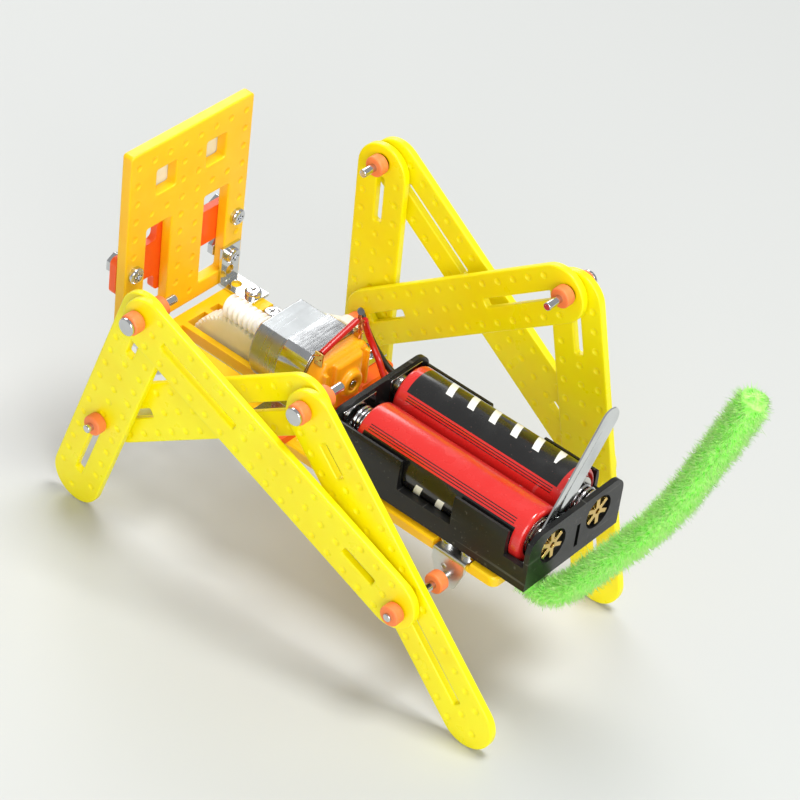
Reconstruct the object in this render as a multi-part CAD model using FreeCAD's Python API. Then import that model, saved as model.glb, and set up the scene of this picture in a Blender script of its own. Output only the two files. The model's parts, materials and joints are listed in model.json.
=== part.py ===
import FreeCAD, Part
import os
from math import atan, atan2, cos, degrees, pi, radians, sin, sqrt

# Crank driven four legged walking robot, millimetres, +X to the head, +Y to its left side, +Z up.
# While building, z = 0 is the top of the base plate and x = 0 its tail end.
V = FreeCAD.Vector
X, Y, Z = V(1, 0, 0), V(0, 1, 0), V(0, 0, 1)
SIDES = (("left", 1), ("right", -1))

# Plates
BASE_L, BASE_W, BASE_T = 110.0, 35.0, 3.0
HEAD_X, HEAD_W, HEAD_H, HEAD_T = 111.5, 40.0, 52.5, 3.0
CROSS_T = 2.0
SHEET = 0.8

# Linkage: crank axle, rear axle and the lengths between pivots
CRANK_X, REAR_X, AXLE_Z = 92.5, 12.5, -6.4
CRANK_R, LINK_B, LEG_D, LEG_A, LINK_C = 12.5, 70.0, 48.0, 43.0, 85.5
CRANK_DEG = {1: -23.0, -1: 157.0}
STRIP_W, STRIP_T, STRIP_END = 14.5, 2.0, 4.5
FOOT_A, FOOT_D = 31.5, 36.5
# Distance of each strip's mid plane from the robot's middle, at its first and its second pivot
PLANES = {
    1: {"drive": (29.9, 28.4), "front": (34.4, 32.7), "rear": (31.1, 31.1), "long": (37.1, 33.8)},
    -1: {"drive": (30.9, 30.9), "front": (35.0, 33.7), "rear": (33.3, 33.3), "long": (37.5, 35.9)},
}

# Pins, bushes and screws
PIN_R, BUSH_R, BUSH_BORE, BUSH_L, BUSH_GAP = 1.0, 2.55, 1.0, 2.7, 0.2
NAIL_HEAD_R, NAIL_HEAD_T = 2.15, 0.8
TIGHT_HOLE, PIVOT_HOLE, OPEN_HOLE = 1.0, 1.08, 2.15
SLOT_W = 2.2
SCREW_R, SCREW_HOLE, HEAD_R, HEAD_HI, NUT_AF, NUT_T = 1.2, 1.3, 2.1, 1.4, 4.6, 1.8

# Motor and worm drive
MOTOR_Z, MOTOR_FRONT, MOTOR_REAR, CAP_REAR = 9.55, 81.5, 65.0, 59.3
MOTOR_R, MOTOR_FLAT = 10.05, 7.5
SHAFT_R, WORM_X0, WORM_X1 = 1.0, 83.5, 96.7
MODULE, TEETH = 0.5, 54
PITCH = pi * MODULE
WHEEL_R = MODULE * TEETH / 2
WORM_R = MOTOR_Z - AXLE_Z - WHEEL_R

# Battery holder and cells
HOLD_X0, HOLD_X1, HOLD_W, HOLD_Z0, HOLD_Z1, WALL = -7.0, 51.0, 33.0, 0.8, 15.3, 1.3
SIDE_TOP = {1: 13.8, -1: 12.3}
CELL_R, CELL_L, CELL_Y, CELL_Z, NUB_L = 7.1, 50.0, 8.0, 9.3, 1.3
CONTACT_T = 0.3

# Shift that puts the frame's origin under the middle of the whole robot
SHIFT = V(-35.983, 0, 41.946)

parts = {}


def add(name, *solids):
    parts[name] = list(solids)


def box(x0, x1, y0, y1, z0, z1):
    return Part.makeBox(x1 - x0, y1 - y0, z1 - z0, V(x0, y0, z0))


def rod(start, axis, r, length):
    return Part.makeCylinder(r, length, start, axis)


def along_y(x, z, r, y0, y1):
    low, high = min(y0, y1), max(y0, y1)
    return rod(V(x, low, z), Y, r, high - low)


def cut(shape, tools):
    return shape.cut(Part.makeCompound(tools)) if tools else shape


def fuse(shapes):
    return shapes[0].fuse(shapes[1:]).removeSplitter()


def chamfer_edges(solid, size, wanted):
    return solid.makeChamfer(size, [e for e in solid.Edges if wanted(e)])


def round_edges(solid, size, wanted):
    return solid.makeFillet(size, [e for e in solid.Edges if wanted(e)])


def on_plane(edge, axis, values):
    return any(all(abs(getattr(v.Point, axis) - value) < 1e-6 for v in edge.Vertexes) for value in values)


def stadium(x0, x1, half, y0, y1):
    """Straight bar with full round ends in the XZ plane."""
    top0, top1 = V(x0 + half, y0, half), V(x1 - half, y0, half)
    low0, low1 = V(x0 + half, y0, -half), V(x1 - half, y0, -half)
    edges = [
        Part.makeLine(top0, top1),
        Part.Arc(top1, V(x1, y0, 0), low1).toShape(),
        Part.makeLine(low1, low0),
        Part.Arc(low0, V(x0, y0, 0), top0).toShape(),
    ]
    return Part.Face(Part.Wire(edges)).extrude(V(0, y1 - y0, 0))


def strip(start, end, before, after, side, planes, slots, holes):
    """Link from pivot start to pivot end; slots and holes are measured from the start pivot."""
    y0, y1 = -STRIP_T / 2, STRIP_T / 2
    span = (end - start).Length
    bar = stadium(-before, span + after, STRIP_W / 2, y0, y1)
    bar = chamfer_edges(bar, 0.35, lambda e: on_plane(e, "y", (y0, y1)))
    bar.rotate(V(0, 0, 0), Z, degrees(atan(side * (planes[1] - planes[0]) / span)))
    bar.translate(V(0, side * planes[0], 0))
    through = sorted((side * 20, side * 50))
    tools = []
    for a, b in slots:
        slot = box(a, b, through[0], through[1], -SLOT_W / 2, SLOT_W / 2)
        tools.append(round_edges(slot, 0.5, lambda e: abs(e.Vertexes[0].Y - e.Vertexes[-1].Y) > 1))
    tools += [along_y(at, 0, r, through[0], through[1]) for at, r in holes]
    bar = cut(bar, tools)
    turn = degrees(atan2(end.z - start.z, end.x - start.x))
    bar.rotate(V(0, 0, 0), Y, -turn)
    bar.translate(V(start.x, 0, start.z))
    return bar


def outside(plane):
    """Near end of a bush that sits outside the strip with this mid plane."""
    return plane + STRIP_T / 2 + BUSH_GAP


def inside(plane):
    return plane - STRIP_T / 2 - BUSH_GAP


def bush(x, z, y0, y1):
    low, high = min(y0, y1), max(y0, y1)
    ring = along_y(x, z, BUSH_R, low, high)
    ring = round_edges(ring, 0.5, lambda e: on_plane(e, "y", (low, high)) and len(e.Vertexes) == 1)
    return ring.cut(along_y(x, z, BUSH_BORE, low - 1, high + 1))


def nail(x, z, y_tip, y_head):
    """Round nail; its flat head sits outside y_head."""
    side = 1 if y_head > y_tip else -1
    shaft = along_y(x, z, PIN_R, y_tip, y_head)
    head = along_y(x, z, NAIL_HEAD_R, y_head, y_head + side * NAIL_HEAD_T)
    return fuse([shaft, head])


def screw(point, axis, length):
    """Pan head screw; the head's underside is at point and the shank runs along axis."""
    head = Part.makeCylinder(HEAD_R, HEAD_HI, V(0, 0, -HEAD_HI), Z)
    head = round_edges(head, 0.7, lambda e: on_plane(e, "z", (-HEAD_HI,)) and len(e.Vertexes) == 1)
    cross = [
        Part.makeBox(2.2, 0.5, 0.8, V(-1.1, -0.25, -HEAD_HI - 0.1)),
        Part.makeBox(0.5, 2.2, 0.8, V(-0.25, -1.1, -HEAD_HI - 0.1)),
    ]
    body = fuse([cut(head, cross), Part.makeCylinder(SCREW_R, length)])
    body.Placement = FreeCAD.Placement(point, FreeCAD.Rotation(Z, axis))
    return body


def nut(point, axis):
    """Hexagon nut whose near face is at point."""
    corners = [V(cos(radians(60 * i)), sin(radians(60 * i)), 0) * (NUT_AF / sqrt(3)) for i in range(7)]
    body = Part.Face(Part.makePolygon(corners)).extrude(V(0, 0, NUT_T))
    body = body.cut(Part.makeCylinder(SCREW_R + 0.03, NUT_T + 2, V(0, 0, -1)))
    body.Placement = FreeCAD.Placement(point, FreeCAD.Rotation(Z, axis))
    return body


def meet(c1, r1, c2, r2):
    """Upper point at distance r1 from c1 and r2 from c2, in the XZ plane."""
    d = c2 - c1
    a = (r1 * r1 - r2 * r2 + d.Length ** 2) / (2 * d.Length)
    h = sqrt(r1 * r1 - a * a)
    return c1 + d * (a / d.Length) + V(-d.z, 0, d.x) * (h / d.Length)


def lead(points, bend, r):
    """Insulated wire with straight runs joined by tangent arcs."""
    edges, last = [], points[0]
    for i in range(1, len(points) - 1):
        p = points[i]
        before, after = points[i - 1] - p, points[i + 1] - p
        before.normalize()
        after.normalize()
        half = before.getAngle(after) / 2
        reach = bend / (sin(half) / cos(half))
        inward = before + after
        inward.normalize()
        centre = p + inward * (bend / sin(half))
        middle = centre - inward * bend
        edges.append(Part.makeLine(last, p + before * reach))
        edges.append(Part.Arc(p + before * reach, middle, p + after * reach).toShape())
        last = p + after * reach
    edges.append(Part.makeLine(last, points[-1]))
    start = points[1] - points[0]
    circle = Part.Wire(Part.makeCircle(r, points[0], start))
    return Part.Wire(edges).makePipeShell([circle], True, False)


def spring(x0, x1, y, z, coil_r, wire_r, turns):
    """Compression spring along X."""
    length = x1 - x0 - 2 * wire_r
    helix = Part.makeHelix(length / turns, length, coil_r)
    circle = Part.Wire(Part.makeCircle(wire_r, V(coil_r, 0, 0), Y))
    coil = Part.Wire(helix).makePipeShell([circle], True, True)
    coil.Placement = FreeCAD.Placement(V(x0 + wire_r, y, z), FreeCAD.Rotation(Z, X))
    return coil


# Pivot points of both linkages
crank_axis = V(CRANK_X, 0, AXLE_Z)
rear_axis = V(REAR_X, 0, AXLE_Z)
pivot = {}
for side, s in SIDES:
    angle = radians(CRANK_DEG[s])
    p1 = crank_axis + V(cos(angle), 0, sin(angle)) * CRANK_R
    pivot[s] = {
        "crank": p1,
        "rear": meet(rear_axis, LEG_D, p1, LINK_B),
        "front": meet(rear_axis, LINK_C, p1, LEG_A),
    }

# Base plate: slots beside the worm wheel, recesses for the axle brackets, screw holes
BRACKET_W, RECESS = 10.6, 1.5
SCREW_PITCH, SCREW_Y = 5.8, 14.4
base = box(0, BASE_L, -BASE_W / 2, BASE_W / 2, -BASE_T, 0)
base = round_edges(base, 2.0, lambda e: abs(e.Vertexes[0].Z - e.Vertexes[-1].Z) > 1)
base = chamfer_edges(base, 0.4, lambda e: on_plane(e, "z", (0, -BASE_T)))
WHEEL_SLOT = (78.5, 106.6)
base_cuts = [box(WHEEL_SLOT[0], WHEEL_SLOT[1], -2.9, 2.9, -4, 1)]
for side, s in SIDES:
    y0, y1 = sorted((s * 4.6, s * 7.6))
    base_cuts.append(box(WHEEL_SLOT[0], WHEEL_SLOT[1], y0, y1, -4, 1))
    for x in (CRANK_X, REAR_X):
        y0, y1 = sorted((s * 11.6, s * 18.0))
        base_cuts.append(box(x - BRACKET_W / 2, x + BRACKET_W / 2, y0, y1, -RECESS, 1))
        for dx in (-SCREW_PITCH / 2, SCREW_PITCH / 2):
            base_cuts.append(rod(V(x + dx, s * SCREW_Y, -4), Z, SCREW_HOLE, 5))
    base_cuts.append(rod(V(102.8, s * 15.6, -4), Z, SCREW_HOLE, 5))
add("base_plate", cut(base, base_cuts))

# Head plate with eye windows and two tall windows
head = box(HEAD_X, HEAD_X + HEAD_T, -HEAD_W / 2, HEAD_W / 2, 0, HEAD_H)
head = round_edges(head, 1.0, lambda e: abs(e.Vertexes[0].X - e.Vertexes[-1].X) > 1)
head = chamfer_edges(head, 0.4, lambda e: on_plane(e, "x", (HEAD_X, HEAD_X + HEAD_T)))
CROSS_SCREW = (17.0, 18.6)
CORNER_Y, CORNER_UP, CORNER_BACK = 15.6, 8.2, 102.8
head_cuts = []
for side, s in SIDES:
    y0, y1 = sorted((s * 5.5, s * 13.6))
    head_cuts.append(box(HEAD_X - 1, HEAD_X + 4, y0, y1, 4.4, 29.6))
    y0, y1 = sorted((s * 5.0, s * 11.4))
    head_cuts.append(box(HEAD_X - 1, HEAD_X + 4, y0, y1, 38.3, 45.3))
    head_cuts.append(rod(V(HEAD_X - 1, s * CROSS_SCREW[0], CROSS_SCREW[1]), X, SCREW_HOLE, 6))
    head_cuts.append(rod(V(HEAD_X - 1, s * CORNER_Y, CORNER_UP), X, SCREW_HOLE, 6))
add("head_plate", cut(head, head_cuts))
add("eye_panel", box(HEAD_X + HEAD_T, HEAD_X + HEAD_T + 1.0, -13, 13, 36.5, 47.0))


def cross_plate(centre, plane, screws):
    """Flat cross: a long bar with one short arm either way; plane gives its two in-plane axes."""
    bar_l, bar_w, arm_l, arm_w = 40.0, 10.0, 20.0, 14.0
    solid = fuse([
        Part.makeBox(bar_l, bar_w, CROSS_T, V(-bar_l / 2, -bar_w / 2, 0)),
        Part.makeBox(arm_w, arm_l, CROSS_T, V(-arm_w / 2, -arm_l / 2, 0)),
    ])
    solid = round_edges(solid, 1.5, lambda e: abs(e.Vertexes[0].Z - e.Vertexes[-1].Z) > 1)
    solid = cut(solid, [Part.makeCylinder(SCREW_HOLE, 5, V(x, y, -1)) for x, y in screws])
    solid.Placement = FreeCAD.Placement(centre, plane)
    return solid


facing = FreeCAD.Rotation(Y, Z, X)
lying = FreeCAD.Rotation(Y, X, V(0, 0, -1))
cross_z = 16.8
add("head_cross", cross_plate(
    V(HEAD_X + HEAD_T, 0, cross_z), facing,
    [(s * CROSS_SCREW[0], CROSS_SCREW[1] - cross_z) for _, s in SIDES]))
STRAP_X, STRAP_Y = 69.0, 18.9
add("motor_cross", cross_plate(V(66.5, 0, CROSS_T), lying, [(s * STRAP_Y, STRAP_X - 66.5) for _, s in SIDES]))

# Corner brackets between base plate and head plate
corner, screws, nuts = [], [], []
for side, s in SIDES:
    y0, y1 = CORNER_Y * s - 3.1, CORNER_Y * s + 3.1
    leg = 11.0
    upright = box(HEAD_X - SHEET, HEAD_X, y0, y1, 0, leg)
    foot = box(HEAD_X - leg, HEAD_X - SHEET, y0, y1, 0, SHEET)
    angle = fuse([upright, foot])
    angle = round_edges(angle, 0.5, lambda e: on_plane(e, "x", (HEAD_X,)) and on_plane(e, "z", (0,)))
    holes = [
        rod(V(HEAD_X - 2, s * CORNER_Y, CORNER_UP), X, SCREW_HOLE, 3),
        rod(V(HEAD_X - 2, s * CORNER_Y, 3.7), X, SCREW_HOLE, 3),
        rod(V(CORNER_BACK, s * CORNER_Y, -1), Z, SCREW_HOLE, 3),
        rod(V(108.2, s * CORNER_Y, -1), Z, SCREW_HOLE, 3),
    ]
    corner.append(cut(angle, holes))
    screws.append(screw(V(HEAD_X - SHEET, s * CORNER_Y, CORNER_UP), X, SHEET + HEAD_T + 2.4))
    nuts.append(nut(V(HEAD_X + HEAD_T, s * CORNER_Y, CORNER_UP), X))
    screws.append(screw(V(HEAD_X, s * CROSS_SCREW[0], CROSS_SCREW[1]), X, HEAD_T + CROSS_T + 2.4))
    nuts.append(nut(V(HEAD_X + HEAD_T + CROSS_T, s * CROSS_SCREW[0], CROSS_SCREW[1]), X))
    screws.append(screw(V(CORNER_BACK, s * CORNER_Y, SHEET), Z * -1, SHEET + BASE_T + 2.4))
    nuts.append(nut(V(CORNER_BACK, s * CORNER_Y, -BASE_T), Z * -1))
add("corner_brackets", *corner)

# Axle brackets: a flange in the plate's recess and a tapered ear down its edge
def axle_bracket(x, s, hole):
    flange = box(x - 4.5, x + 4.5, 11.8, BASE_W / 2 + SHEET, -RECESS, -RECESS + SHEET)
    edge_y = BASE_W / 2
    outline = [
        V(x - 4.5, edge_y, -RECESS + SHEET), V(x + 4.5, edge_y, -RECESS + SHEET), V(x + 4.5, edge_y, -3.6),
        V(x + 2.4, edge_y, -9.2), V(x - 2.4, edge_y, -9.2), V(x - 4.5, edge_y, -3.6),
        V(x - 4.5, edge_y, -RECESS + SHEET),
    ]
    ear = Part.Face(Part.makePolygon(outline)).extrude(V(0, SHEET, 0))
    solid = fuse([flange, ear])
    solid = round_edges(solid, 0.6, lambda e: on_plane(e, "z", (-RECESS + SHEET,))
                        and on_plane(e, "y", (edge_y + SHEET,)))
    holes = [rod(V(x + dx, SCREW_Y, -4), Z, SCREW_HOLE, 5) for dx in (-SCREW_PITCH / 2, SCREW_PITCH / 2)]
    holes.append(along_y(x, AXLE_Z, hole, 16, 20))
    holes.append(along_y(x + 0.9, AXLE_Z + 2.1, 0.75, 16, 20))
    solid = cut(solid, holes)
    return solid if s > 0 else solid.mirror(V(0, 0, 0), Y)


for name, x, hole in (("crank_brackets", CRANK_X, 1.05), ("rear_brackets", REAR_X, TIGHT_HOLE)):
    add(name, *[axle_bracket(x, s, hole) for _, s in SIDES])
    for side, s in SIDES:
        for dx in (-SCREW_PITCH / 2, SCREW_PITCH / 2):
            top = V(x + dx, s * SCREW_Y, -RECESS + SHEET)
            screws.append(screw(top, Z * -1, BASE_T - RECESS + SHEET + 0.8))

# Motor: flat sided can, rear cap, brush terminals, strap over the can
def flat_sided(x0, x1, r, flat):
    return rod(V(x0, 0, MOTOR_Z), X, r, x1 - x0).common(box(x0, x1, -r, r, MOTOR_Z - flat, MOTOR_Z + flat))


can = flat_sided(MOTOR_REAR, MOTOR_FRONT, MOTOR_R, MOTOR_FLAT)
can = round_edges(can, 0.7, lambda e: on_plane(e, "x", (MOTOR_FRONT,)))
can = can.fuse(rod(V(MOTOR_FRONT, 0, MOTOR_Z), X, 3.0, 1.4))
shaft_bore = rod(V(50, 0, MOTOR_Z), X, SHAFT_R + 0.06, 60)
add("motor_can", can.cut(shaft_bore))

cap = flat_sided(CAP_REAR + 1.6, MOTOR_REAR, 9.7, 7.3)
cap = round_edges(cap, 1.4, lambda e: on_plane(e, "x", (CAP_REAR + 1.6,)))
band = box(CAP_REAR, CAP_REAR + 2, -4.6, 4.6, MOTOR_Z - 6.4, MOTOR_Z + 6.4)
band = round_edges(band, 1.1, lambda e: on_plane(e, "x", (CAP_REAR,)))
boss = rod(V(CAP_REAR - 1.5, 0, MOTOR_Z), X, 3.4, 3)
boss = round_edges(boss, 0.9, lambda e: on_plane(e, "x", (CAP_REAR - 1.5,)) and len(e.Vertexes) == 1)
ribs = [box(CAP_REAR + 0.6, CAP_REAR + 2, y, y + 1.0, MOTOR_Z - 5, MOTOR_Z + 5) for y in (-7.6, 6.6)]
cap = fuse([cap, band, boss] + ribs)
TAB_X = (62.0, 64.4)
TERMINALS = ((7.0, 19.4), (-6.3, 19.0))
tab_z0 = MOTOR_Z + 3.0
cap_cuts = [shaft_bore, rod(V(CAP_REAR - 2, 0, MOTOR_Z), X, 1.7, 1.6)]
cap_cuts += [box(TAB_X[0], TAB_X[1], y - 0.2, y + 0.2, tab_z0, 20) for y, _ in TERMINALS]
add("motor_cap", cut(cap, cap_cuts))
add("motor_terminals", *[box(TAB_X[0], TAB_X[1], y - 0.2, y + 0.2, tab_z0, top) for y, top in TERMINALS])

STRAP_X0, STRAP_X1, STRAP_T, STRAP_GAP = STRAP_X - 3.8, STRAP_X + 3.8, 0.5, 0.05
inner_r, inner_flat = MOTOR_R + STRAP_GAP, MOTOR_FLAT + STRAP_GAP
outer = flat_sided(STRAP_X0, STRAP_X1, inner_r + STRAP_T, inner_flat + STRAP_T)
outer = outer.fuse(box(STRAP_X0, STRAP_X1, -inner_r - STRAP_T, inner_r + STRAP_T, CROSS_T, MOTOR_Z))
inner = flat_sided(STRAP_X0 - 1, STRAP_X1 + 1, inner_r, inner_flat)
inner = inner.fuse(box(STRAP_X0 - 1, STRAP_X1 + 1, -inner_r, inner_r, CROSS_T - 1, MOTOR_Z))
feet = []
for side, s in SIDES:
    y0, y1 = sorted((s * (inner_r + 0.1), s * 21.0))
    feet.append(box(STRAP_X0, STRAP_X1, y0, y1, CROSS_T, CROSS_T + STRAP_T))
    screws.append(screw(V(STRAP_X, s * STRAP_Y, CROSS_T + STRAP_T), Z * -1, CROSS_T + STRAP_T + 0.4))
strap = fuse([outer.cut(inner)] + feet)
holes = [rod(V(STRAP_X, s * STRAP_Y, 0), Z, SCREW_HOLE, 5) for _, s in SIDES]
add("motor_strap", cut(strap, holes))
add("screws", *screws)
add("nuts", *nuts)

# Motor shaft and worm
add("motor_shaft", rod(V(57.9, 0, MOTOR_Z), X, SHAFT_R, WORM_X1 - 0.3 - 57.9))
worm_root, worm_tip = WORM_R - 0.55, WORM_R + 0.42
flank = [(worm_root - 0.2, -0.43), (worm_tip, -0.18), (worm_tip, 0.18), (worm_root - 0.2, 0.43)]
profile = Part.makePolygon([V(r, 0, z) for r, z in flank + flank[:1]])
THREAD_TURNS, TURNS_BEFORE = 9, 6
helix = Part.makeHelix(PITCH, THREAD_TURNS * PITCH, WORM_R)
thread = Part.Wire(helix).makePipeShell([Part.Wire(profile)], True, True)
thread.Placement = FreeCAD.Placement(
    V(CRANK_X - TURNS_BEFORE * PITCH, 0, MOTOR_Z), FreeCAD.Rotation(Z, X))
worm_core = rod(V(WORM_X0, 0, MOTOR_Z), X, worm_root, WORM_X1 - WORM_X0)
thread = thread.common(rod(V(WORM_X0 + 0.2, 0, MOTOR_Z), X, worm_tip + 1, WORM_X1 - WORM_X0 - 0.4))
worm = worm_core.fuse(thread)
add("worm", worm.cut(rod(V(WORM_X0 - 1, 0, MOTOR_Z), X, SHAFT_R, WORM_X1 - WORM_X0 + 2)))

# Worm wheel with straight teeth; a gap sits at its top, under a turn of the thread
tooth = [(-0.62, 0.46), (0.45, 0.24), (0.45, -0.24), (-0.62, -0.46)]
rim = []
for i in range(TEETH):
    middle = pi / 2 + (i + 0.5) * 2 * pi / TEETH
    for depth, half in tooth:
        r = WHEEL_R + depth
        a = middle - half / r
        rim.append(V(CRANK_X + r * cos(a), -2.0, AXLE_Z + r * sin(a)))
rim.append(rim[0])
wheel = Part.Face(Part.makePolygon(rim)).extrude(V(0, 4.0, 0))
wheel = wheel.fuse(along_y(CRANK_X, AXLE_Z, 2.2, -4.4, 4.4))
add("worm_wheel", wheel.cut(along_y(CRANK_X, AXLE_Z, PIN_R, -6, 6)))

# Crankshaft: axle, arms, crank pins and the bushes on them
ARM_Y0, ARM_Y1 = 23.5, 26.5
add("crank_axle", along_y(CRANK_X, AXLE_Z, PIN_R, -27.2, 27.2))
axle_bushes, crank_bushes = [], []
for side, s in SIDES:
    p1 = pivot[s]["crank"]
    reach = p1 - crank_axis
    web = box(0, CRANK_R, -2.3, 2.3, ARM_Y0, ARM_Y1)
    web.Placement = FreeCAD.Placement(V(CRANK_X, 0, AXLE_Z), FreeCAD.Rotation(reach, reach.cross(V(0, s, 0)), V(0, s, 0)))
    hub = along_y(CRANK_X, AXLE_Z, 3.6, s * (ARM_Y0 - 0.6), s * ARM_Y1)
    tip = along_y(p1.x, p1.z, 3.0, s * ARM_Y0, s * ARM_Y1)
    arm = fuse([web, hub, tip])
    holes = [
        along_y(CRANK_X, AXLE_Z, PIN_R, s * 20, s * 30),
        along_y(p1.x, p1.z, PIN_R, s * 20, s * 30),
    ]
    add("crank_arm_" + side, cut(arm, holes))
    outer = outside(PLANES[s]["front"][1]) + 0.1
    add("crank_pin_" + side, along_y(p1.x, p1.z, PIN_R, s * ARM_Y0, s * (outer + BUSH_L + 1.6)))
    axle_bushes.append(bush(CRANK_X, AXLE_Z, s * 18.6, s * 22.7))
    crank_bushes.append(bush(p1.x, p1.z, s * (ARM_Y1 + 0.2), s * (inside(PLANES[s]["drive"][0]) - 0.1)))
    crank_bushes.append(bush(p1.x, p1.z, s * outer, s * (outer + BUSH_L)))
add("axle_bushes", *axle_bushes)
add("crank_bushes", *crank_bushes)

# Links and legs; slots are measured from the first pivot of each strip
rear_bushes = []
axle_end = {}
NAIL_Y = 41.4
for side, s in SIDES:
    p, plane = pivot[s], PLANES[s]
    add("drive_link_" + side, strip(
        p["crank"], p["rear"], 4.0, 4.0, s, plane["drive"],
        [(4.0, 15.5), (43.3, 65.0)], [(0, PIVOT_HOLE), (LINK_B, OPEN_HOLE)]))
    add("front_leg_" + side, strip(
        p["front"], p["crank"], STRIP_END, FOOT_A, s, plane["front"],
        [(4.0, 16.4), (LEG_A + 3.2, LEG_A + 21.5)], [(0, OPEN_HOLE), (LEG_A, PIVOT_HOLE)]))
    add("rear_leg_" + side, strip(
        p["rear"], rear_axis, STRIP_END, FOOT_D, s, plane["rear"],
        [(3.2 if s < 0 else 8.4, 17.0), (LEG_D + 3.2, LEG_D + 25.0)], [(0, TIGHT_HOLE), (LEG_D, PIVOT_HOLE)]))
    add("long_link_" + side, strip(
        p["front"], rear_axis, STRIP_END, STRIP_END, s, plane["long"],
        [(7.7, 31.9), (LINK_C - 17.6, LINK_C - 7.9)], [(0, TIGHT_HOLE), (LINK_C, PIVOT_HOLE)]))
    front, rear = p["front"], p["rear"]
    outer, inner = outside(plane["long"][0]), inside(plane["front"][0]) - 0.1
    add("front_nail_" + side, nail(front.x, front.z, s * (inner - BUSH_L - 3.8), s * NAIL_Y))
    add("front_bushes_" + side,
        bush(front.x, front.z, s * outer, s * (NAIL_Y - 0.05)),
        bush(front.x, front.z, s * inner, s * (inner - BUSH_L)))
    outer, inner = outside(plane["rear"][0]), inside(plane["drive"][1]) - 0.1
    add("rear_nail_" + side, nail(rear.x, rear.z, s * (inner - BUSH_L - 4.4), s * (outer + BUSH_L + 0.05)))
    add("rear_knee_bushes_" + side,
        bush(rear.x, rear.z, s * outer, s * (outer + BUSH_L)),
        bush(rear.x, rear.z, s * inner, s * (inner - BUSH_L)))
    outer = outside(plane["long"][1]) + 0.05
    axle_end[s] = outer + BUSH_L + 0.6
    rear_bushes.append(bush(REAR_X, AXLE_Z, s * 20.0, s * 22.8))
    rear_bushes.append(bush(REAR_X, AXLE_Z, s * outer, s * (outer + BUSH_L)))
add("rear_axle", along_y(REAR_X, AXLE_Z, PIN_R, -axle_end[-1], axle_end[1]))
add("rear_axle_bushes", *rear_bushes)

# Battery holder on a pad of foam tape
add("foam_tape", box(18, 46, -9, 9, 0, HOLD_Z0))
half_w = HOLD_W / 2
BULGE_Z, TOP_Y = 9.3, half_w - 0.5


def side_points(s):
    """Foot, widest point, middle of the curve and top of a side wall's outer face."""
    top = SIDE_TOP[s]
    return [
        V(HOLD_X0, s * half_w, HOLD_Z0), V(HOLD_X0, s * half_w, BULGE_Z),
        V(HOLD_X0, s * (half_w - 0.12), (BULGE_Z + top) / 2), V(HOLD_X0, s * TOP_Y, top),
    ]


left_wall, right_wall = side_points(1), side_points(-1)
outline = [
    Part.makeLine(right_wall[0], left_wall[0]),
    Part.makeLine(left_wall[0], left_wall[1]),
    Part.Arc(*left_wall[1:]).toShape(),
    Part.makeLine(left_wall[3], right_wall[3]),
    Part.Arc(*right_wall[:0:-1]).toShape(),
    Part.makeLine(right_wall[1], right_wall[0]),
]
tray = Part.Face(Part.Wire(outline)).extrude(X * (HOLD_X1 - HOLD_X0))
end_walls = []
for x in (HOLD_X0, HOLD_X1 - WALL):
    wall = box(x, x + WALL, -half_w, half_w, HOLD_Z0, HOLD_Z1)
    end_walls.append(round_edges(wall, 4.0, lambda e: on_plane(e, "z", (HOLD_Z1,)) and on_plane(e, "y", (-half_w, half_w))))
holder = fuse([tray] + end_walls)
BAY_X0, BAY_X1, BAY_R = HOLD_X0 + WALL, HOLD_X1 - WALL, CELL_R + 0.25
hollow = [box(BAY_X0, BAY_X1, -CELL_Y - BAY_R, CELL_Y + BAY_R, CELL_Z + 0.4, HOLD_Z1 + 1)]
for side, s in SIDES:
    y0, y1 = sorted((s * 0.65, s * (CELL_Y + BAY_R)))
    hollow.append(rod(V(BAY_X0, s * CELL_Y, CELL_Z), X, BAY_R, BAY_X1 - BAY_X0))
    hollow.append(box(BAY_X0, BAY_X1, y0, y1, CELL_Z, HOLD_Z1 + 1))
    y0, y1 = sorted((s * 14.0, s * 18.0))
    hollow.append(box(14.8, 30.2, y0, y1, 6.0, HOLD_Z1 + 1))
    hollow.append(box(BAY_X0, -0.3, y0, y1, 7.1, HOLD_Z1 + 1))
    for x in (HOLD_X0 - 1, HOLD_X1 - WALL - 1):
        hollow.append(rod(V(x, s * CELL_Y, CELL_Z), X, 4.3, WALL + 2))
hollow.append(box(HOLD_X0 - 1, BAY_X0 + 0.5, -1.6, -0.4, 3.4, 9.9))
add("battery_holder", cut(holder, hollow))

# Contacts: plates inside the end walls, star shaped rivets in their holes, springs
plates, stars, springs = [], [], []
for side, s in SIDES:
    y0, y1 = s * CELL_Y - 5.5, s * CELL_Y + 5.5
    plates.append(box(BAY_X0 + 0.05, BAY_X0 + 0.05 + CONTACT_T, y0, y1, CELL_Z - 4.85, CELL_Z + 5.0))
    plates.append(box(BAY_X1 - 0.05 - CONTACT_T, BAY_X1 - 0.05, y0, y1, CELL_Z - 4.85, CELL_Z + 5.0))
    for x0, x1 in ((HOLD_X0 + 0.2, BAY_X0 + 0.05), (BAY_X1 - 0.05, HOLD_X1 - 0.2)):
        star = [rod(V(x0, s * CELL_Y, CELL_Z), X, 1.6, x1 - x0)]
        for turn in range(6):
            leg = box(x0, x1 - 0.1, 1.0, 3.7, -0.6, 0.6)
            leg.rotate(V(0, 0, 0), X, 25 + 60 * turn)
            leg.translate(V(0, s * CELL_Y, CELL_Z))
            star.append(leg)
        star = fuse(star)
        stars.append(star.cut(rod(V(x0 - 1, s * CELL_Y, CELL_Z), X, 0.7, x1 - x0 + 2)))
plate_face0, plate_face1 = BAY_X0 + 0.05 + CONTACT_T, BAY_X1 - 0.05 - CONTACT_T
TAB_X0, TAB_T = plate_face0 + 0.15, 0.4
CELL_X0 = TAB_X0 + TAB_T + 0.2
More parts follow.
